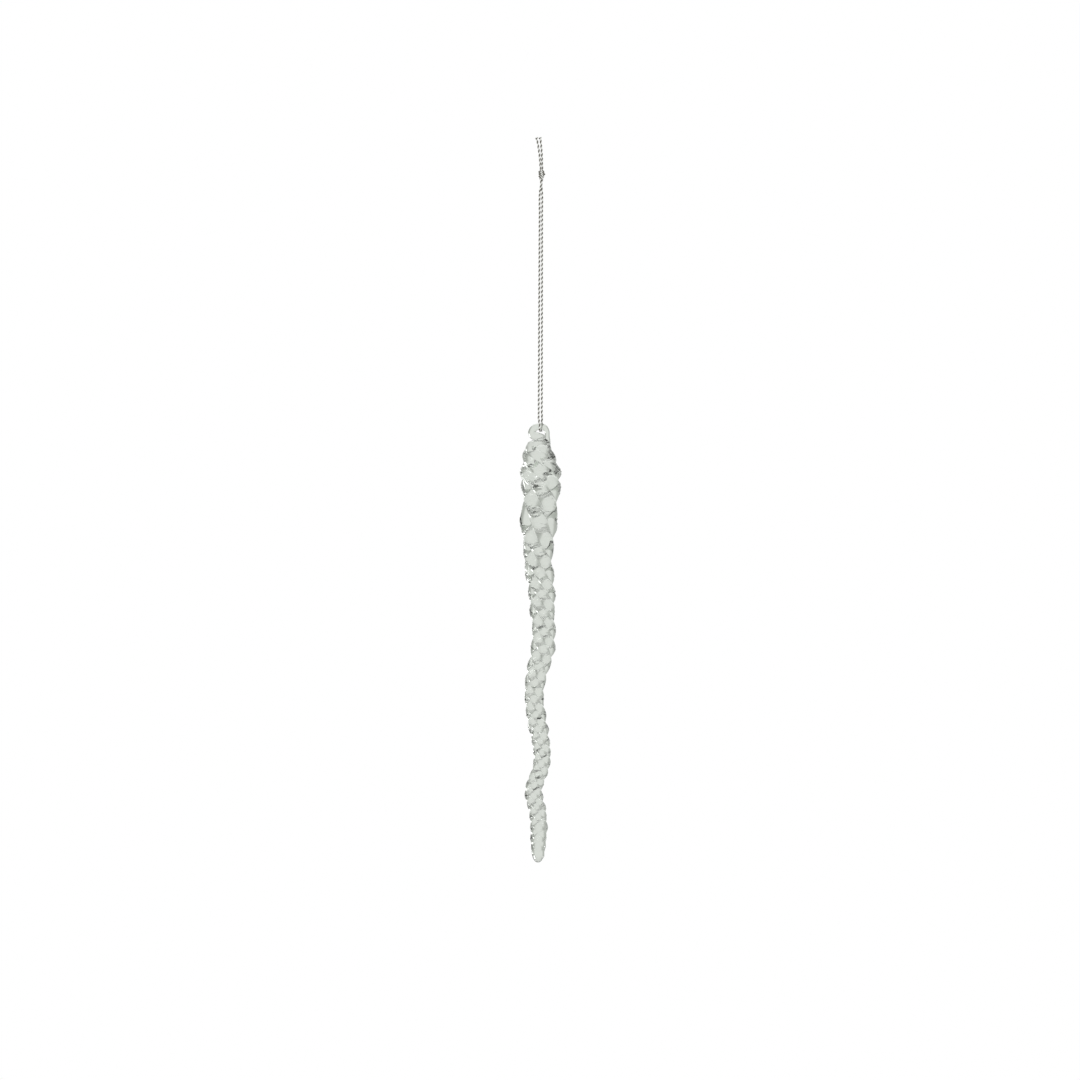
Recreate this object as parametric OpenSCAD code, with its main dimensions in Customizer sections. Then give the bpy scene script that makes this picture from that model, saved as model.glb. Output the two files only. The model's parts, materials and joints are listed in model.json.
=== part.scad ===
// Icicle hanging ornament: a twisted drop of clear glass on a doubled metallic cord.
// The origin is the hanging point, just under the knot. +Z is up and the front faces -Y.

/* [Cord] */
// Thickness of the twisted cord
cord_d = 0.65; // [0.5:0.01:0.7]
// Clear space between the two legs of the loop at the top
leg_gap = 0.06; // [0.05:0.01:0.2]
// Clear space between the two legs of the loop at the bottom
foot_gap = 0.58; // [0.05:0.01:0.6]
// Drop from the hanging point to the middle of the eye's top bar
loop_drop = 85.35; // [60:0.05:120]
// Space left in the cord at each bend
bend_gap = 0.45; // [0.42:0.01:0.6]
// Clear space between the cord and the bar of the eye that it carries
bight_gap = 0.12; // [0.08:0.01:0.14]

/* [Knot and tails] */
// Radius of the coils of the knot, to the middle of the cord
knot_coil_r = 0.74; // [0.7:0.01:0.9]
// Number of coils in the knot
knot_coils = 4; // [2:1:5]
// Slope of each coil
knot_tilt = 14; // [5:1:20]
// Length of the two cut tails
tail_len = 10.4; // [6:0.1:20]
// Lean of the tails towards the left, front tail first
tail_lean = [9.2, 2.4]; // [0:0.1:15]

/* [Eye] */
// Width of the round hole in the eye
eye_hole_d = 3.1; // [3.0:0.05:3.6]
// Thickness of the glass round the hole
eye_bar_d = 2.2; // [1.8:0.05:2.3]

/* [Icicle] */
// Length of the twisted glass from neck to tip
icicle_len = 145.9; // [120:0.1:160]
// Number of lobes round the twisted glass
lobes = 4; // [4:2:6]
// Distance of each lobe's centre from the axis, as a share of the radius
lobe_offset = 0.54; // [0.1:0.01:0.56]
// Sideways wander of the glass to left and right, 1 as made
wander = 1; // [0:0.1:1.3]
// Wander to front and back as a share of the sideways wander
depth_wander = 0.55; // [0:0.05:0.8]

/* [Hidden] */

$fn = 48;
cord_r = cord_d / 2;
// The six bends in the loop, as shares of its drop, from the top down
bends = [0.05, 0.18, 0.38, 0.58, 0.78, 0.925];

knot_low = 0.55;
knot_x = 0.3;
coil_pitch = cord_d * 1.08;
knot_top = knot_low + (knot_coils - 1) * coil_pitch + cord_r;
tail_y = cord_r + 0.05;
tail_base = knot_top + cord_r + 0.35;

eye_bar_r = eye_bar_d / 2;
eye_ring_r = eye_hole_d / 2 + eye_bar_r;
bight_r = eye_bar_r + cord_r + bight_gap;
eye_z = -loop_drop - eye_ring_r;
neck_z = eye_z - eye_hole_d / 2 - 0.3;

// Radius of the glass at a share of its length below the neck, over the tops of the lobes
girth = [
    [0, 3.4], [0.02, 4.6], [0.068, 6.85], [0.12, 6.75], [0.185, 6.7], [0.255, 5.5], [0.31, 5.1],
    [0.4, 4.5], [0.5, 4.1], [0.62, 3.5], [0.75, 3.15], [0.93, 2.95], [0.97, 2.4], [1, 1.8]
];
// Sideways place of the glass at a share of its length: the hot glass wandered as it was drawn
swerve = [
    [0, -0.1], [0.02, -0.8], [0.07, 0], [0.13, 0], [0.2, -0.65], [0.29, -0.7], [0.36, 0.45],
    [0.45, 1.05], [0.5, 0.7], [0.56, -1.5], [0.6, -2.2], [0.66, -1.4], [0.74, 0.5],
    [0.775, 0.1], [0.83, -2.4], [0.89, -0.7], [1, -0.9]
];
// Lobes that have turned past the side of the glass at a share of its length
twist = [
    [0, -1.1], [0.0226, -0.5], [0.054, 0.5], [0.0935, 1.5], [0.1455, 2.5], [0.235, 3.5],
    [0.285, 4.5], [0.342, 5.5], [0.555, 10.5], [0.668, 13.5], [0.753, 16.5], [0.93, 23.5], [1, 26]
];

stations = 100;
facets = 32;
melt_share = 0.1;
tip_share = 0.018;
tip_rings = 5;

// A smooth curve through [place, value] points
function slope_at(p, i) = i == 0 || i == len(p) - 1 ? 0
    : (p[i + 1][1] - p[i - 1][1]) / (p[i + 1][0] - p[i - 1][0]);
function span_of(p, at, i = 0) = i >= len(p) - 2 || at < p[i + 1][0] ? i : span_of(p, at, i + 1);
function curve(p, at) =
    let(i = span_of(p, at), h = p[i + 1][0] - p[i][0])
    let(u = min(1, max(0, (at - p[i][0]) / h)))
    p[i][1] * (1 + 2 * u) * (1 - u) ^ 2 + p[i + 1][1] * u ^ 2 * (3 - 2 * u)
    + h * u * (1 - u) * (slope_at(p, i) * (1 - u) - slope_at(p, i + 1) * u);

// Radius of overlapping round lobes of outer radius 1, at an angle from a lobe's middle
function lobe_radius(angle, offset) =
    offset * cos(angle) + sqrt((1 - offset) ^ 2 - (offset * sin(angle)) ^ 2);
function off_middle(angle) =
    let(step = 360 / lobes) angle - step * round(angle / step);
// The lobes melt into a plain round tip over the last part of the length
function lobe_depth(at) = lobe_offset * min(1, (1 - at) / melt_share) ^ 0.7;

// One ring of points across the glass: at is its share of the length, shrink rounds off the tip
function ring(at, shrink = 1) = [
    for (i = [0:facets - 1])
        let(angle = 360 * i / facets, phase = curve(twist, at) * 360 / lobes)
        let(r = shrink * curve(girth, at) * lobe_radius(off_middle(angle), lobe_depth(at)))
        [
            wander * curve(swerve, at) + r * cos(angle + phase),
            wander * depth_wander * curve(swerve, 1 - at) + r * sin(angle + phase),
            neck_z - at * icicle_len
        ]
];

module torus(ring_r, bar_r) {
    rotate_extrude() translate([ring_r, 0]) circle(bar_r);
}

// From the middle of the loop to the middle of a leg, at a share of the drop
function leg_x(share) = cord_r + (leg_gap + (foot_gap - leg_gap) * share) / 2;
// Where a leg stops above (way 1) or below (way -1) bend i; legs further apart need more room
function leg_end(side, i, way) =
    let(x = leg_x(bends[i]))
    [side * x, 0, way * (cord_r + bend_gap / 2 + x - leg_x(0)) - bends[i] * loop_drop];

// A length of cord between two points, with round ends
module cord(from, to) {
    run = to - from;
    translate(from) rotate([0, acos(run[2] / norm(run)), atan2(run[1], run[0])]) {
        cylinder(r = cord_r, h = norm(run));
        for (end = [0, norm(run)]) translate([0, 0, end]) sphere(cord_r);
    }
}

// One leg of the loop between bend i and the bend below it; side is -1 on the left
module leg(side, i) {
    color("silver") cord(leg_end(side, i, -1), leg_end(side, i + 1, 1));
}

module tail(side, lean) {
    base = [knot_x, side * tail_y, tail_base];
    color("silver") cord(base, base + tail_len * [-sin(lean), 0, cos(lean)]);
}

// The overhand knot as sloping coils round a core, with the tops of both legs below it
module cord_knot() {
    color("silver") {
        for (i = [0:knot_coils - 1])
            translate([knot_x, 0, knot_low + i * coil_pitch])
                rotate([0, knot_tilt, 0]) torus(knot_coil_r, cord_r);
        translate([knot_x, 0, knot_low - cord_r]) cylinder(r = knot_coil_r, h = knot_top - knot_low);
        for (side = [-1, 1]) cord([side * leg_x(0), 0, knot_low], leg_end(side, 0, 1));
    }
}

// The bottom of the loop: both legs part in front of and behind the eye and join under its top bar
module cord_bight() {
    color("silver") {
        translate([0, 0, -loop_drop]) rotate([90, 0, 90])
            rotate_extrude(angle = 180, start = 180) translate([bight_r, 0]) circle(cord_r);
        for (side = [-1, 1]) cord(leg_end(side, 5, -1), [0, side * bight_r, -loop_drop]);
    }
}

// The curled eye at the top of the glass
module glass_eye() {
    color("lightgray", 0.5)
        translate([0, 0, eye_z]) rotate([90, 0, 0]) torus(eye_ring_r, eye_bar_r);
}

// The twisted, tapering and wandering body of the glass, down to its smooth round tip
module glass_icicle() {
    body = [for (i = [0:stations]) ring(i / stations * (1 - tip_share))];
    tip = [
        for (i = [1:tip_rings - 1])
            let(a = 90 * i / tip_rings)
            ring(1 - tip_share + tip_share * sin(a), cos(a))
    ];
    rings = concat(body, tip);
    ends = [ring(0, 0)[0], ring(1, 0)[0]];
    last = (len(rings) - 1) * facets;
    points = concat([for (r = rings) each r], ends);
    top = len(points) - 2;
    walls = [
        for (k = [0:len(rings) - 2], i = [0:facets - 1])
            let(a = k * facets + i, b = k * facets + (i + 1) % facets)
            each [[a, a + facets, b], [b, a + facets, b + facets]]
    ];
    caps = [
        for (i = [0:facets - 1])
            let(n = (i + 1) % facets)
            each [[top, i, n], [top + 1, last + n, last + i]]
    ];
    color("lightgray", 0.5) polyhedron(points, concat(walls, caps), convexity = 10);
}

cord_knot();
tail(-1, tail_lean[0]);  // front_tail
tail(1, tail_lean[1]);  // rear_tail
leg(-1, 0);  // left_leg_top
leg(1, 0);  // right_leg_top
leg(-1, 1);  // left_leg_upper
leg(1, 1);  // right_leg_upper
leg(-1, 2);  // left_leg_middle
leg(1, 2);  // right_leg_middle
leg(-1, 3);  // left_leg_lower
leg(1, 3);  // right_leg_lower
leg(-1, 4);  // left_leg_foot
leg(1, 4);  // right_leg_foot
cord_bight();
glass_eye();
glass_icicle();
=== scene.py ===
import json
import math

import bpy
import numpy as np
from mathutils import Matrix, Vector


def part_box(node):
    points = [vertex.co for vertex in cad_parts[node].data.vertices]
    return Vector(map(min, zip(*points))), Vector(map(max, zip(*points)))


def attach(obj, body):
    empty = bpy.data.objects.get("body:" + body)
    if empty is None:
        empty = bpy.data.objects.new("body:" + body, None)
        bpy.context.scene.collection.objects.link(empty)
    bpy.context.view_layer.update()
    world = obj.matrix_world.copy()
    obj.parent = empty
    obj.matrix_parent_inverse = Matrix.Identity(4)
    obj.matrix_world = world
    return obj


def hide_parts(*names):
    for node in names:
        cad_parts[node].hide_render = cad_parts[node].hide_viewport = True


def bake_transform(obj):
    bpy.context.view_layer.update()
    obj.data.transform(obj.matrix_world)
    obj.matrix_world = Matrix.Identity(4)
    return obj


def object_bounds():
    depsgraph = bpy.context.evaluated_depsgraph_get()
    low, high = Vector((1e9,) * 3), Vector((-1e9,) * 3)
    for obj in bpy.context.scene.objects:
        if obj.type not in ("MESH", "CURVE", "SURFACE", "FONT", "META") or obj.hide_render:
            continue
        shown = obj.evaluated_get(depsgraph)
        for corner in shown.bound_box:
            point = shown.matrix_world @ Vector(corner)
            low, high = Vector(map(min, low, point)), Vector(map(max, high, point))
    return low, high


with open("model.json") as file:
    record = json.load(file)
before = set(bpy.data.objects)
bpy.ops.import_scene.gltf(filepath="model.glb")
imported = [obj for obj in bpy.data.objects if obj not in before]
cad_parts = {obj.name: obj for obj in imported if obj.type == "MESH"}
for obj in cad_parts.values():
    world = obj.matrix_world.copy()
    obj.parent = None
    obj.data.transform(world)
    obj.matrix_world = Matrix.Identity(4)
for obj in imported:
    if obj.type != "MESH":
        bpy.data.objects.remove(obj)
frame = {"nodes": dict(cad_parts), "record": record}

# A twisted drop of clear glass on a doubled, knotted silver cord. Lengths are in metres.
CAD_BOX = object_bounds()
MM = 0.001
JOINTS = {joint["name"]: joint for joint in frame["record"]["behaviour"]["joints"]}


# ---------------------------------------------------------------- curves and tubes

def smooth(x, xs, ys):
    """A smooth curve through the points (xs, ys), read at x."""
    slope = np.gradient(ys, xs)
    i = np.clip(np.searchsorted(xs, x, side="right") - 1, 0, len(xs) - 2)
    h = xs[i + 1] - xs[i]
    u = np.clip((x - xs[i]) / h, 0, 1)
    return (ys[i] * (1 + 2 * u) * (1 - u) ** 2 + ys[i + 1] * u ** 2 * (3 - 2 * u)
            + h * u * (1 - u) * (slope[i] * (1 - u) - slope[i + 1] * u))


def lengths_along(points):
    """Distance along a line of points, from its first point."""
    steps = np.linalg.norm(np.diff(points, axis=0), axis=1)
    return np.concatenate([[0], np.cumsum(steps)])


def smooth_path(points, step):
    """Evenly spaced points, about a step apart, on a smooth curve through the given points."""
    points = np.array(points, float)
    along = lengths_along(points)
    fine = np.linspace(0, along[-1], int(along[-1] / step * 8))
    line = np.stack([smooth(fine, along, points[:, k]) for k in range(3)], 1)
    run = lengths_along(line)
    even = np.linspace(0, run[-1], int(run[-1] / step) + 1)
    return np.stack([np.interp(even, run, line[:, k]) for k in range(3)], 1)


def unit(v):
    """Vectors scaled to a length of 1."""
    return v / np.linalg.norm(v, axis=-1, keepdims=True)


def carried_normals(points):
    """At each point of a line, a direction square to it that turns as little as possible."""
    tangent = unit(np.gradient(points, axis=0))
    normal = np.cross(tangent[0], [0, 1, 0])
    if np.linalg.norm(normal) < 0.1:
        normal = np.cross(tangent[0], [1, 0, 0])
    out = []
    for t in tangent:
        normal = normal - (normal @ t) * t
        normal = normal / np.linalg.norm(normal)
        out.append(normal)
    return np.array(out)


def grid_faces(rings, sides, flip=False):
    """Four-sided faces between rings of points that follow each other; flip turns them over."""
    i = np.arange(rings - 1)[:, None] * sides
    j = np.arange(sides)[None, :]
    k = (j + 1) % sides
    corners = [i + j, i + k, i + sides + k, i + sides + j]
    if flip:
        corners = [corners[0], corners[3], corners[2], corners[1]]
    return np.stack(corners, -1).reshape(-1, 4)


class Tubes:
    """Collects closed round tubes into one mesh, with a UV map of millimetres along and turns round."""

    def __init__(self, sides):
        self.sides = sides
        self.points = []
        self.faces = []
        self.uvs = []
        self.count = 0

    def add(self, line, radius, normal, start=0.0):
        """One tube along a line; radius and normal are given for each of its points, and start is
        how far along the cord its first point is."""
        rings, sides = len(line), self.sides
        tangent = unit(np.gradient(line, axis=0))
        normal = unit(normal - (normal * tangent).sum(1, keepdims=True) * tangent)
        across = np.cross(tangent, normal)
        turn = np.arange(sides) * 2 * math.pi / sides
        ring = (np.cos(turn)[None, :, None] * normal[:, None, :]
                + np.sin(turn)[None, :, None] * across[:, None, :])
        self.points.append((line[:, None, :] + np.reshape(radius, (-1, 1, 1)) * ring).reshape(-1, 3))
        self.faces += (grid_faces(rings, sides) + self.count).tolist()
        last = self.count + (rings - 1) * sides
        self.faces += [list(range(self.count, self.count + sides))[::-1], list(range(last, last + sides))]
        self.add_uvs((start + lengths_along(line)) / MM)
        self.count += rings * sides

    def add_uvs(self, run):
        """The UV map of one tube: its walls, then its two end caps."""
        place = np.arange(self.sides)[None, :] / self.sides
        after = (np.arange(self.sides)[None, :] + 1) / self.sides
        low, high, left, right = np.broadcast_arrays(run[:-1, None], run[1:, None], place, after)
        self.uvs.append(np.stack([low, left, low, right, high, right, high, left], -1).reshape(-1, 2))
        for end in (run[0], run[-1]):
            self.uvs.append(np.tile([end, 0.0], (self.sides, 1)))

    def make(self, name):
        return make_object(name, np.concatenate(self.points), self.faces, np.concatenate(self.uvs))


def make_object(name, points, faces, uvs=None):
    """A smooth-shaded mesh in the scene; uvs has one row for each corner of each face."""
    mesh = bpy.data.meshes.new(name)
    mesh.from_pydata(np.asarray(points).tolist(), [], faces)
    if uvs is not None:
        layer = mesh.uv_layers.new(name="thread")
        layer.data.foreach_set("uv", np.asarray(uvs, np.float32).ravel())
    mesh.update()
    mesh.shade_smooth()
    made = bpy.data.objects.new(name, mesh)
    bpy.context.scene.collection.objects.link(made)
    return made


# ---------------------------------------------------------------- materials

def add_node(tree, kind, inputs=None, **settings):
    """A shader node with its settings and inputs; an input is a value or another node's output."""
    made = tree.nodes.new(kind)
    for key, value in settings.items():
        setattr(made, key, value)
    for key, value in (inputs or {}).items():
        if isinstance(value, bpy.types.NodeSocket):
            tree.links.new(value, made.inputs[key])
        else:
            made.inputs[key].default_value = value
    return made


def calc(tree, operation, *values):
    """The result of a Math node on numbers and other nodes' outputs."""
    return add_node(tree, "ShaderNodeMath", dict(enumerate(values)), operation=operation).outputs[0]


def noise(tree, place, scale, detail, roughness=0.5):
    """Soft random values from 0 to 1 over a place; scale is in spots to the metre."""
    return add_node(tree, "ShaderNodeTexNoise", {
        "Vector": place, "Scale": scale, "Detail": detail, "Roughness": roughness}).outputs["Fac"]


def ramp(tree, value, stops):
    """A ramp of greys, or of colours, over a value from 0 to 1."""
    made = add_node(tree, "ShaderNodeValToRGB", {"Fac": value})
    elements = made.color_ramp.elements
    while len(elements) < len(stops):
        elements.new(0.5)
    for element, (place, shade) in zip(elements, stops):
        element.position = place
        element.color = [*shade, 1] if isinstance(shade, (list, tuple)) else [shade] * 3 + [1]
    return made.outputs["Color"]


def new_material(name):
    material = bpy.data.materials.new(name)
    material.use_nodes = True
    material.node_tree.nodes.clear()
    return material, material.node_tree


def finish_material(tree, surface):
    add_node(tree, "ShaderNodeOutputMaterial", {"Surface": surface})


def clear_glass():
    """Clear drawn glass with a faint grey-green body tint and faint streaks along its length."""
    material, tree = new_material("clear_glass")
    place = add_node(tree, "ShaderNodeTexCoord").outputs["Object"]
    drawn = add_node(tree, "ShaderNodeMapping", {"Vector": place, "Scale": (1, 1, 0.22)})
    cloud = noise(tree, place, 160, 3, 0.55)
    tint = ramp(tree, cloud, [(0.3, (0.955, 0.982, 0.95)), (0.7, (0.98, 0.992, 0.978))])
    streak = noise(tree, drawn.outputs[0], 900, 2)
    ripple = add_node(tree, "ShaderNodeBump", {
        "Height": streak, "Strength": 0.05, "Distance": 0.2 * MM})
    finish = add_node(tree, "ShaderNodeBsdfPrincipled", {
        "Base Color": tint, "Roughness": 0.0, "IOR": 1.47, "Transmission Weight": 1.0,
        "Normal": ripple.outputs[0]})
    finish_material(tree, finish.outputs[0])
    return material


def silver_thread():
    """Metallised thread: bright foil on the crown of each ply, with painted shade darkening it towards the
    grooves between the plies.
    The foil is a narrow strip wound round the ply."""
    strips_per_mm = 5.5
    strips_per_turn = 2.0
    foil_depth = 1.2
    speckle = 0.14
    material, tree = new_material("silver_thread")
    coords = add_node(tree, "ShaderNodeTexCoord")
    split = add_node(tree, "ShaderNodeSeparateXYZ", {0: coords.outputs["UV"]})
    along, round_ply = split.outputs[0], split.outputs[1]
    grain = noise(tree, coords.outputs["Object"], 3200, 4, 0.6)
    lean = calc(tree, "MULTIPLY", round_ply, strips_per_turn)
    wound = calc(tree, "MULTIPLY_ADD", along, strips_per_mm, lean)
    strip = calc(tree, "PINGPONG", wound, 0.5)
    height = calc(tree, "MULTIPLY_ADD", strip, foil_depth, grain)
    bump = add_node(tree, "ShaderNodeBump", {
        "Height": height, "Strength": 0.5, "Distance": 0.04 * MM})
    # Painted shade: the colour runs from bright on the crown of each ply to dark in the grooves, where
    # shade falls; the grain roughens its edge.
    from_crown = calc(tree, "PINGPONG", round_ply, 0.5)
    centred = calc(tree, "SUBTRACT", from_crown, speckle / 2)
    groove_shade_mask = calc(tree, "MULTIPLY_ADD", grain, speckle, centred)
    shade = ramp(tree, groove_shade_mask, [(0.11, (0.98, 0.98, 0.965)), (0.17, (0.6, 0.59, 0.56)),
                              (0.22, (0.11, 0.1, 0.08))])
    metal = ramp(tree, groove_shade_mask, [(0.12, 0.45), (0.2, 0.1)])
    rough = ramp(tree, grain, [(0.3, 0.5), (0.7, 0.25)])
    finish = add_node(tree, "ShaderNodeBsdfPrincipled", {
        "Base Color": shade, "Metallic": metal, "Roughness": rough, "Normal": bump.outputs[0]})
    finish_material(tree, finish.outputs[0])
    return material


# ---------------------------------------------------------------- the glass

LOBES = 4
BODY_RINGS = 900
POINTS_PER_LOBE = 22
# Distance of each lobe's centre from the axis, as a share of the radius, where the lobes are deepest
LOBE_OFFSET = 0.56
# Height of the rounded top of the body, inside the neck
DOME = 1.0 * MM
# How far the radius varies: between lobes, all over, and in the fine wrinkles along the crests
UNEVEN_LOBES = 0.07
UNEVEN_SKIN = 0.01
WRINKLES = 0.02


def mesh_points(node):
    """The points of a CAD node's mesh."""
    mesh = frame["nodes"][node].data
    points = np.empty(len(mesh.vertices) * 3, np.float32)
    mesh.vertices.foreach_get("co", points)
    return points.reshape(-1, 3).astype(float)


def glass_stations():
    """Down the CAD glass, ring by ring: its middle x, y, z, its radius over the lobes and the
    angle of one lobe. The last row is the tip."""
    points = np.unique(np.round(mesh_points("glass_icicle"), 6), axis=0)
    points = points[np.argsort(-points[:, 2])]
    rings = np.split(points, np.flatnonzero(np.diff(points[:, 2]) < -0.05 * MM) + 1)
    rows = []
    for ring in rings[:-1]:
        middle = ring.mean(0)
        arms = (ring - middle)[:, :2]
        reach = np.hypot(arms[:, 0], arms[:, 1])
        top = arms[reach.argmax()]
        rows.append([*middle, reach.max(), math.atan2(top[1], top[0])])
    rows = np.array(rows)
    rows[:, 4] = np.unwrap(rows[:, 4] * LOBES) / LOBES
    tip = rows[-1].copy()
    tip[2] = rings[-1][0, 2]
    tip[3] = 0
    return np.vstack([rows, tip])


def waves(seed, count, angle, depth, longest, shortest, most_turns=5):
    """A smooth random surface of about -1 to 1 over the angle round and the depth down the glass:
    so many waves, each of a random length down the glass and a whole number of turns round it."""
    rng = np.random.default_rng(seed)
    total = np.zeros(np.broadcast(angle, depth).shape)
    for _ in range(count):
        length = shortest * (longest / shortest) ** rng.random()
        turns = rng.integers(-most_turns, most_turns + 1)
        total += np.sin(turns * angle + depth * 2 * math.pi / length + rng.random() * 2 * math.pi)
    return total / math.sqrt(count)


def lobe_offset(depth):
    """How far the lobes' centres lie from the axis at each depth below the neck. The lobes start
    shallow, are deepest from the shoulder down, grow a little shallower along the taper, and melt
    into a plain round tip over the last tenth."""
    at_neck = 0.45
    lost_on_taper = 0.17
    share = depth / depth[-1]
    melt = np.clip((1 - share) / 0.1, 0, 1) ** 0.7
    grow = at_neck + (1 - at_neck) * np.clip(depth / (18 * MM), 0, 1)
    ease = 1 - lost_on_taper * np.clip(share / 0.6 - 0.5, 0, 1)
    return LOBE_OFFSET * melt * grow * ease


def lobe_points():
    """Round one ring of the glass: each point's angle, its angle from the middle of its lobe and
    the lobe's number. The points stand closer together towards the grooves."""
    crowding = 0.62
    side = np.linspace(-1, 1, POINTS_PER_LOBE + 1)[:-1]
    within = math.pi / LOBES * (crowding * np.sin(side * math.pi / 2) + (1 - crowding) * side)
    around = np.concatenate([within + lobe * 2 * math.pi / LOBES for lobe in range(LOBES)])
    return around, np.tile(within, LOBES), np.repeat(np.arange(LOBES), POINTS_PER_LOBE)


def unevenness(angle, depth, from_middle, lobe_of):
    """What the radius is multiplied by over the surface: each lobe swells and thins by itself, the
    skin is not quite even, and fine wrinkles run along the crests, faint at the neck."""
    crest_width = 0.23
    thick = sum(np.where(lobe_of == lobe, 1, 0) * waves(20 + lobe, 5, 0, depth, 30 * MM, 8 * MM)
                for lobe in range(LOBES))
    fade = np.cos(from_middle * LOBES / 2) ** 2
    skin = waves(7, 14, angle, depth, 12 * MM, 3 * MM)
    crest = np.exp(-(from_middle / crest_width) ** 2) * np.clip(depth / (12 * MM), 0.1, 1)
    wrinkle = waves(9, 30, angle, depth, 2.6 * MM, 1 * MM, 15) * crest
    return 1 + UNEVEN_LOBES * thick * fade + UNEVEN_SKIN * skin + WRINKLES * wrinkle


def twisted_body():
    """The body of the glass: round lobes twisted together, uneven as drawn hot, with a domed top."""
    stations = glass_stations()
    index = np.linspace(0, len(stations) - 1, BODY_RINGS)
    x, y, z, radius, turn = (smooth(index, np.arange(len(stations)), stations[:, k]) for k in range(5))
    depth = z[0] - z
    radius = radius * np.sqrt(np.clip(1 - np.clip(1 - depth / DOME, 0, 1) ** 2, 0, 1))

    around, from_middle, lobe_of = (row[None, :] for row in lobe_points())
    angle = around + turn[:, None]
    offset = lobe_offset(depth)[:, None]
    shape = offset * np.cos(from_middle) + np.sqrt((1 - offset) ** 2 - (offset * np.sin(from_middle)) ** 2)
    reach = radius[:, None] * shape * unevenness(angle, depth[:, None], from_middle, lobe_of)
    points = np.stack([x[:, None] + reach * np.cos(angle), y[:, None] + reach * np.sin(angle),
                       np.broadcast_to(z[:, None], angle.shape)], -1)

    sides, rings = around.size, BODY_RINGS - 2
    ends = [[x[0], y[0], z[0]], [x[-1], y[-1], z[-1]]]
    top, tip, last_ring = rings * sides, rings * sides + 1, (rings - 1) * sides
    faces = grid_faces(rings, sides, flip=True).tolist()
    faces += [[top, j, (j + 1) % sides] for j in range(sides)]
    faces += [[tip, last_ring + (j + 1) % sides, last_ring + j] for j in range(sides)]
    return make_object("twisted_glass", np.vstack([points[1:-1].reshape(-1, 3), ends]), faces)


def glass_strand(name, points):
    """A drawn strand of glass through x, y, z, radius points in millimetres from the middle of the
    eye, with a round end at its first point."""
    low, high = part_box("glass_eye")
    points = np.array(points) * MM
    centres = np.array((low + high) / 2) + points[:, :3]
    line = smooth_path(centres, 0.1 * MM)
    along, run = lengths_along(centres), lengths_along(line)
    radius = smooth(run * along[-1] / run[-1], along, points[:, 3])
    rounded = np.sqrt(np.clip(1 - np.clip(1 - run / radius, 0, 1) ** 2, 0.002, 1))
    tubes = Tubes(32)
    tubes.add(line, radius * rounded, carried_normals(line))
    return tubes.make(name)


def eye_strand():
    """The curled eye: from its round end in front, left, over the top and down the right side."""
    return glass_strand("eye_strand", [
        (1.6, -1.15, -1.05, 1.05), (0.1, -1.05, -1.0, 1.25), (-1.2, -0.85, -0.78, 1.42),
        (-2.4, -0.5, -0.5, 1.4), (-3.0, -0.25, 0.45, 1.3), (-2.3, -0.1, 1.9, 1.25),
        (-0.3, 0.0, 2.66, 1.1), (1.3, 0.05, 2.3, 1.05), (2.26, 0.25, 0.9, 0.88),
        (2.32, 0.4, -0.6, 0.86), (2.3, 0.5, -2.05, 1.1), (2.0, 0.4, -3.9, 1.45), (1.2, 0.2, -6.2, 1.9)])


def neck_strands():
    """The fold of glass across the front of the neck, and the small drop on the right of the eye."""
    fold = glass_strand("neck_fold", [
        (-0.6, -0.4, -0.9, 1.3), (0.0, -0.7, -2.4, 2.2), (0.6, -0.9, -4.2, 2.8), (0.9, -0.5, -7.0, 3.2)])
    drop = glass_strand("pulled_drop", [
        (3.05, -0.5, -3.1, 0.5), (3.0, -0.45, -2.6, 0.46), (2.7, -0.2, -1.7, 0.4), (2.4, 0.3, -1.0, 0.5)])
    return fold, drop


def applied(shaped):
    """The object with its modifiers applied to its mesh."""
    graph = bpy.context.evaluated_depsgraph_get()
    mesh = bpy.data.meshes.new_from_object(shaped.evaluated_get(graph))
    shaped.modifiers.clear()
    shaped.data = mesh
    mesh.materials.clear()
    mesh.shade_smooth()
    return shaped


def joined(main, extra):
    """The union of two closed objects, in the first one; the second is removed."""
    union = main.modifiers.new("union", "BOOLEAN")
    union.operation = "UNION"
    union.solver = "MANIFOLD"
    union.object = extra
    applied(main)
    bpy.data.objects.remove(extra)
    return main


def fused_eye():
    """The curled eye and the neck's strands, run together where hot glass has fused them."""
    eye = eye_strand()
    for strand in neck_strands():
        eye = joined(eye, strand)
    melt = eye.modifiers.new("melt", "REMESH")
    melt.mode = "VOXEL"
    melt.voxel_size = 0.13 * MM
    soften = eye.modifiers.new("soften", "SMOOTH")
    soften.factor = 0.5
    soften.iterations = 8
    return applied(eye)


def build_glass():
    glass = joined(twisted_body(), fused_eye())
    glass.data.materials.append(clear_glass())
    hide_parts("glass_eye", "glass_icicle")
    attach(glass, "icicle")


# ---------------------------------------------------------------- the cord

# Half the thickness of the whole cord, over its two plies
CORD_RADIUS = 0.38 * MM
PLY_RADIUS = 0.21 * MM
PLY_OFFSET = 0.172 * MM
# The length in which the plies turn once round each other
LAY = 3.07 * MM
CORD_STEP = 0.13 * MM
PLY_SIDES = 8
# The length at each cut end over which the plies open
FRAY = 1.3 * MM
# Each end of the cord is coiled into the knot: its turns, and its radius at the top in millimetres
KNOT_TURNS = 1.75
KNOT_RADIUS = 0.66
# The height where the loop's first piece starts, and how far below the last bend its last one ends
KNOT_CUT = -0.7 * MM
HITCH_DROP = 3.2 * MM
# The joints down the loop, each with the level of the CAD legs that hang from it
LOOP_LEVELS = {
    "loop_side_swing": "top", "loop_front_swing": "upper", "cord_side_bend": "middle",
    "cord_twist": "lower", "cord_front_bend": "foot", "eye_side_swing": None}


def joint_height(name):
    return JOINTS[name]["pos_m"][2]


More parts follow.
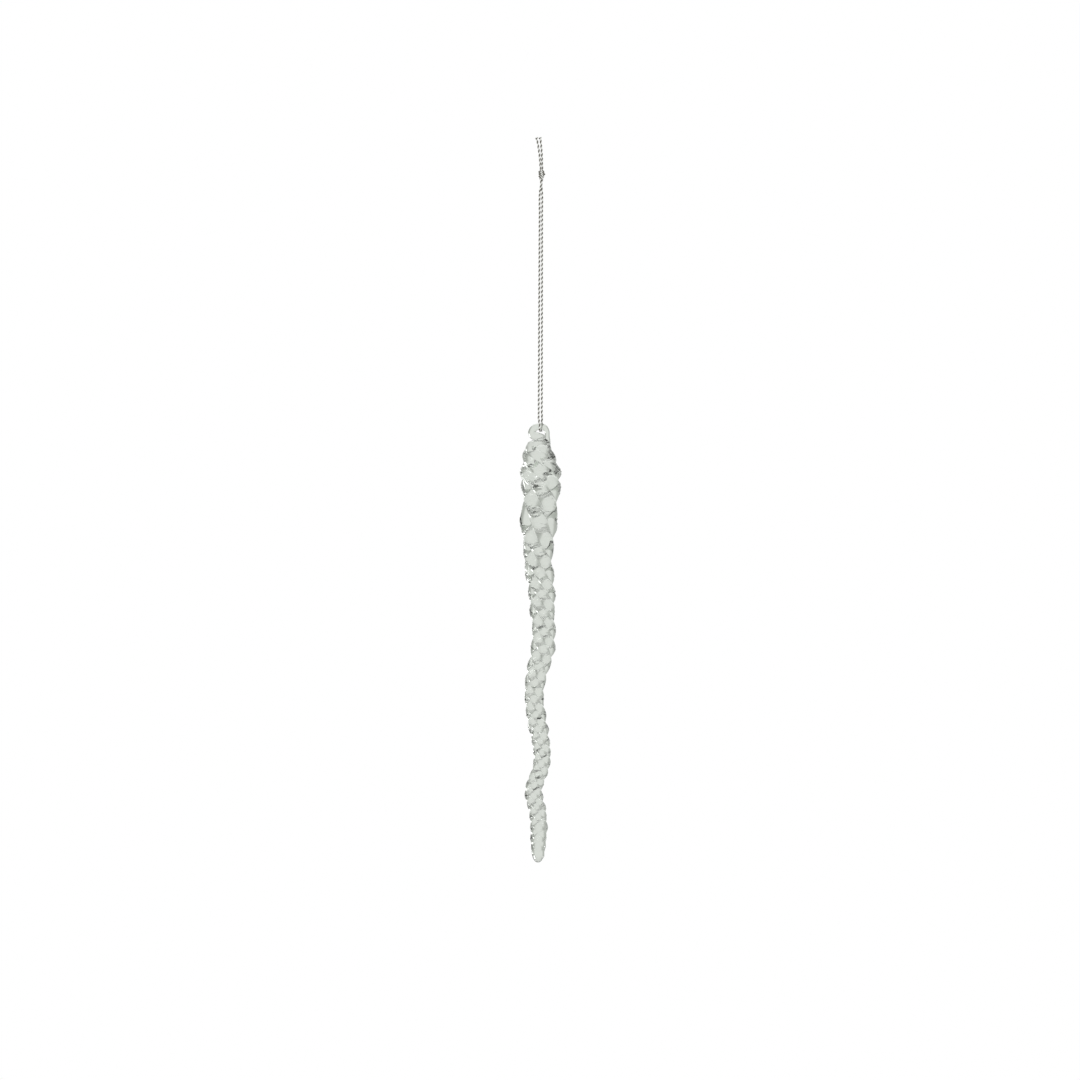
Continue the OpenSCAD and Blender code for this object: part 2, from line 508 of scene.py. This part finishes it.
def leg_places(height):
    """Where the left and right legs of the loop are at a height: they part on the way down, and
    lean a little to the left."""
    top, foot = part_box("left_leg_top"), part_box("left_leg_foot")
    share = (top[1].z - height) / (top[1].z - foot[0].z)
    half = -(top[1].x - CORD_RADIUS) * (1 - share) - (foot[0].x + CORD_RADIUS) * share
    lean = (0.16 - 0.24 * share) * MM
    return lean - half, lean + half


def knot_turns(start_angle, axis_x, top, bottom, bulge=0.0):
    """A coil of the knot, from its top down: widest near its middle, tight at its foot. The bulge,
    in millimetres, widens it at the upper right."""
    points = []
    for share in np.linspace(0, 1, 22):
        angle = math.radians(start_angle) + share * KNOT_TURNS * 2 * math.pi
        wide = bulge * max(0, math.cos(angle)) ** 4 * math.exp(-((share - 0.3) / 0.16) ** 2)
        coil = (KNOT_RADIUS + 0.1 * math.sin(math.pi * share)) * (1 - 0.5 * share ** 4)
        reach = (coil + wide) * MM
        points.append((axis_x + reach * math.cos(angle), reach * math.sin(angle),
                       top + (bottom - top) * share))
    return points


def tail_points(node, side, axis_x):
    """From a tail's cut tip down to the knot: it leans and bows a little. Side is -1 in front."""
    low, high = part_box(node)
    tip = np.array([low.x + CORD_RADIUS, side * 0.3 * MM, high.z])
    root = np.array([axis_x + side * 0.28 * MM, side * 0.34 * MM, joint_height(node + "_flop")])
    bow = np.array([0.2 * MM, 0, 0])
    return [tuple(tip + (root - tip) * share + bow * math.sin(math.pi * share))
            for share in (0, 0.2, 0.4, 0.6, 0.8, 1)]


def hitch_points():
    """From the foot of the left leg in front of the bar of the eye, under it, and up behind it to
    the foot of the right leg. The shape is in millimetres from the middle of the bar."""
    shape = [(-0.62, -0.65, 2.7), (-0.42, -1.32, 1.25), (-0.3, -1.52, 0.1), (-0.38, -1.2, -0.95),
             (-0.2, -0.45, -1.5), (0.3, 0.45, -1.5), (0.42, 1.2, -0.95), (0.4, 1.52, 0.1),
             (0.44, 1.32, 1.4), (0.5, 0.6, 2.9)]
    shape_reach = max(y for x, y, z in shape)
    reach = -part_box("cord_bight")[0].y - 0.27 * MM
    bar_z = joint_height("eye_front_rock")
    return [(x * MM, y * reach / shape_reach, bar_z + z * MM) for x, y, z in shape]


def cord_line():
    """The middle of the whole cord, as one line: front tail, knot, left leg, round the bar of the
    eye, right leg, knot, rear tail."""
    low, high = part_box("cord_knot")
    axis_x = (low.x + high.x) / 2
    knot_top = high.z - 0.3 * MM
    knot_foot = 0.1 * MM
    leg_top = -0.9 * MM
    foot = joint_height("eye_side_swing")
    heights = [*np.linspace(-5 * MM, foot, 12), foot - 1.6 * MM]
    left_leg = ([(axis_x - 0.15 * MM, -0.3 * MM, leg_top)]
                + [(leg_places(z)[0], 0, z) for z in heights])
    right_leg = ([(axis_x + 0.1 * MM, 0.3 * MM, leg_top)]
                 + [(leg_places(z)[1], 0, z) for z in heights])
    return (tail_points("front_tail", -1, axis_x)
            + knot_turns(-90, axis_x, knot_top, knot_foot)
            + left_leg + hitch_points() + right_leg[::-1]
            + knot_turns(90, axis_x, knot_top, knot_foot, bulge=0.55)[::-1]
            + tail_points("rear_tail", 1, axis_x)[::-1])


def fray(run):
    """How far the plies have opened at each distance along the cord: only at the two cut ends."""
    from_end = np.minimum(run, run[-1] - run)
    return np.clip(1 - from_end / FRAY, 0, 1) ** 1.5


class Cord:
    """The whole cord as two twisted plies, from which pieces are cut."""

    def __init__(self):
        self.line = smooth_path(cord_line(), CORD_STEP)
        self.normal = carried_normals(self.line)
        tangent = unit(np.gradient(self.line, axis=0))
        self.across = np.cross(tangent, self.normal)
        self.run = lengths_along(self.line)
        self.open = fray(self.run)
        lowest = self.line[:, 2].argmin()
        self.last = len(self.line) - 1
        self.halves = np.split(np.arange(self.last + 1), [lowest])
        self.thread = silver_thread()

    def cut(self, height):
        """The numbers of the points nearest a height, one on the front half of the cord and one on
        its rear half. The front half runs from the front tail down the left leg."""
        return [half[np.abs(self.line[half, 2] - height).argmin()] for half in self.halves]

    def add_plies(self, tubes, first, last):
        """Adds both plies between two point numbers to a mesh."""
        part = slice(first, last + 1)
        run, opened = self.run[part], self.open[part]
        for ply in (0, 1):
            angle = 2 * math.pi * run / LAY + ply * math.pi
            out = (np.cos(angle)[:, None] * self.normal[part]
                   + np.sin(angle)[:, None] * self.across[part])
            place = self.line[part] + (PLY_OFFSET * (1 + 0.9 * opened))[:, None] * out
            uneven = 1 + 0.05 * np.sin(run / (0.9 * MM) + 2 * ply)
            tubes.add(place, PLY_RADIUS * uneven * (1 + 0.25 * opened), out, run[0])

    def piece(self, name, spans, *nodes):
        """A piece made of spans between two point numbers, which stands for the given CAD nodes."""
        tubes = Tubes(PLY_SIDES)
        for first, last in spans:
            self.add_plies(tubes, first, last)
        made = tubes.make(name)
        made.data.materials.append(self.thread)
        if nodes:
            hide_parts(*nodes)
        return made


def build_knot_and_tails(cord):
    """The knot rides on its body, and each tail is cut where it leaves the knot."""
    front, rear = cord.cut(joint_height("front_tail_flop") - 0.35 * MM)
    left, right = cord.cut(KNOT_CUT)
    knot = cord.piece("knotted_cord", [(front, left), (right, rear)], "cord_knot")
    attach(knot, "knot")
    for name, span in (("front_tail", (0, front)), ("rear_tail", (rear, cord.last))):
        tail = cord.piece(name + "_cord", [span], name)
        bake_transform(tail)


def build_loop(cord):
    """Both legs in lengths from half way above one joint to half way below it, and last the hitch round
    the bar of the eye."""
    bends = [joint_height(name) for name in LOOP_LEVELS]
    halfway = [(above + below) / 2 for above, below in zip(bends, bends[1:])]
    cuts = [KNOT_CUT, *halfway, bends[-1] - HITCH_DROP]
    for number, (name, level) in enumerate(LOOP_LEVELS.items()):
        bend, top, bottom = bends[number], cuts[number], cuts[number + 1]
        left_top, right_top = cord.cut(top)
        left_bottom, right_bottom = cord.cut(bottom)
        nodes = [f"{side}_leg_{level}" for side in ("left", "right")] if level else []
        length = cord.piece(f"loop_cord_{number + 1}",
                            [(left_top, left_bottom), (right_bottom, right_top)], *nodes)
        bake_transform(length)
    hitch = cord.piece("hitched_cord", [cord.cut(cuts[-1])], "cord_bight")
    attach(hitch, "bight")


def build_cord():
    cord = Cord()
    build_knot_and_tails(cord)
    build_loop(cord)


# ---------------------------------------------------------------- studio

# Brightness round the object, from behind the camera (0) past both sides to behind the object (1),
# as seen through the glass and as mirrored in glass and foil
SEEN_THROUGH = [(0.0, 0.55), (0.3, 0.45), (0.42, 0.03), (0.61, 0.02), (0.66, 0.5), (0.72, 0.6),
                (1.0, 0.71)]
MIRRORED = [(0.0, 1.15), (0.3, 0.8), (0.5, 0.15), (0.7, 0.35), (1.0, 0.8)]
# Soft lamps, and dark cards that take light away, which show only through the glass: direction in
# the camera's frame, cosines of the inner and outer edge, and strength
LAMPS_AND_CARDS = [
    ((0.95, 0.3, -0.1), 0.996, 0.983, 5),
    ((0.3, 0.75, -0.6), 0.996, 0.983, 5),
    ((0.6, 0.3, 0.75), 0.996, 0.983, 2),
    ((-0.8, -0.1, 0.6), 0.93, 0.8, -0.2),
    ((0.8, -0.1, 0.6), 0.93, 0.8, -0.25),
    ((0.0, -1.0, 0.15), 0.9, 0.5, 0.3)]
STUDIO_TINT = (0.975, 1.0, 0.955)


def soft_step(tree, value, low, high, from_value, to_value):
    """A soft step from one value to another as the input goes from low to high."""
    return add_node(tree, "ShaderNodeMapRange", {
        0: value, 1: low, 2: high, 3: from_value, 4: to_value},
        interpolation_type="SMOOTHSTEP").outputs[0]


def mix_colours(tree, share, first, second, **settings):
    """Two colours mixed by a share from 0 to 1; settings can ask for adding instead of blending."""
    return add_node(tree, "ShaderNodeMix", {0: share, 6: first, 7: second},
                    data_type="RGBA", **settings).outputs[2]


def studio_light():
    """A plain white studio to the camera and to matt surfaces. Glass and foil see a soft light with
    darker sides, which turns with the camera."""
    world = bpy.data.worlds.new("studio")
    bpy.context.scene.world = world
    world.use_nodes = True
    tree = world.node_tree
    tree.nodes.clear()
    direction = add_node(tree, "ShaderNodeTexCoord").outputs["Camera"]
    away = add_node(tree, "ShaderNodeSeparateXYZ", {0: direction}).outputs[2]
    share = calc(tree, "MULTIPLY_ADD", away, 0.5, 0.5)

    def surroundings(stops):
        return ramp(tree, share, [(place, [light * c for c in STUDIO_TINT]) for place, light in stops])

    added = 0.0
    for toward, inner, outer, strength in LAMPS_AND_CARDS:
        cosine = add_node(tree, "ShaderNodeVectorMath", {
            0: direction, 1: Vector(toward).normalized()}, operation="DOT_PRODUCT").outputs["Value"]
        added = calc(tree, "ADD", added, soft_step(tree, cosine, outer, inner, 0.0, strength))
    through = mix_colours(tree, 1.0, surroundings(SEEN_THROUGH), added, blend_type="ADD")

    rays = add_node(tree, "ShaderNodeLightPath").outputs
    glossy = mix_colours(tree, rays["Is Transmission Ray"], surroundings(MIRRORED), through)
    plain = calc(tree, "MAXIMUM", rays["Is Camera Ray"], rays["Is Diffuse Ray"])
    colour = mix_colours(tree, plain, glossy, (1, 1, 1, 1))
    light = add_node(tree, "ShaderNodeBackground", {0: colour})
    add_node(tree, "ShaderNodeOutputWorld", {0: light.outputs[0]})


def disc(name, middle, reach, rings, sides):
    """A flat round sheet."""
    points = [tuple(middle)]
    for ring in range(1, rings + 1):
        for side in range(sides):
            angle = 2 * math.pi * side / sides
            points.append((middle.x + reach * ring / rings * math.cos(angle),
                           middle.y + reach * ring / rings * math.sin(angle), middle.z))
    faces = [(0, 1 + side, 1 + (side + 1) % sides) for side in range(sides)]
    faces += (grid_faces(rings, sides, flip=True) + 1).tolist()
    return make_object(name, points, faces)


def floor_paper(middle, reach):
    """Pale matt paper that fades into the white studio towards its edge."""
    material, tree = new_material("floor_paper")
    place = add_node(tree, "ShaderNodeTexCoord").outputs["Object"]
    away = add_node(tree, "ShaderNodeVectorMath", {0: place, 1: middle}, operation="DISTANCE")
    fade = soft_step(tree, away.outputs["Value"], 0.05, reach * 0.96, 1.0, 0.0)
    paper = ramp(tree, noise(tree, place, 900, 3), [(0.3, 0.9), (0.7, 0.94)])
    matt = add_node(tree, "ShaderNodeBsdfDiffuse", {"Color": paper})
    clear = add_node(tree, "ShaderNodeBsdfTransparent")
    mixed = add_node(tree, "ShaderNodeMixShader", {0: fade, 1: clear.outputs[0], 2: matt.outputs[0]})
    finish_material(tree, mixed.outputs[0])
    return material


def pale_floor():
    """A round pale floor well below the tip, which glass and foil don't see."""
    low, high = CAD_BOX
    below_tip = 0.125
    reach = 0.245
    middle = (low + high) / 2
    middle.z = low.z - below_tip
    floor = disc("floor", middle, reach, 12, 96)
    floor.data.materials.append(floor_paper(middle, reach))
    floor.visible_transmission = False
    floor.visible_glossy = False


def place_camera():
    """Level and straight in front, with a long lens. It aims a little below the middle of the
    object, at a point measured from the hanging point, which is the origin."""
    aim = Vector((-0.17 * MM, 0, -124.5 * MM))
    distance = Vector((0, 1.242, 0))
    lens = bpy.data.cameras.new("camera")
    lens.lens = 120
    lens.sensor_width = 36
    lens.clip_start = 0.1
    lens.clip_end = 10
    camera = bpy.data.objects.new("camera", lens)
    bpy.context.scene.collection.objects.link(camera)
    camera.location = aim - distance
    camera.rotation_euler = (math.pi / 2, 0, 0)
    bpy.context.scene.camera = camera


def set_light_paths():
    """Enough bounces for light to find its way through the folds of the glass, and plain colours."""
    scene = bpy.context.scene
    scene.view_settings.view_transform = "Standard"
    scene.cycles.max_bounces = 16
    scene.cycles.transmission_bounces = 16
    scene.cycles.glossy_bounces = 8


build_glass()
build_cord()
studio_light()
pale_floor()
place_camera()
set_light_paths()
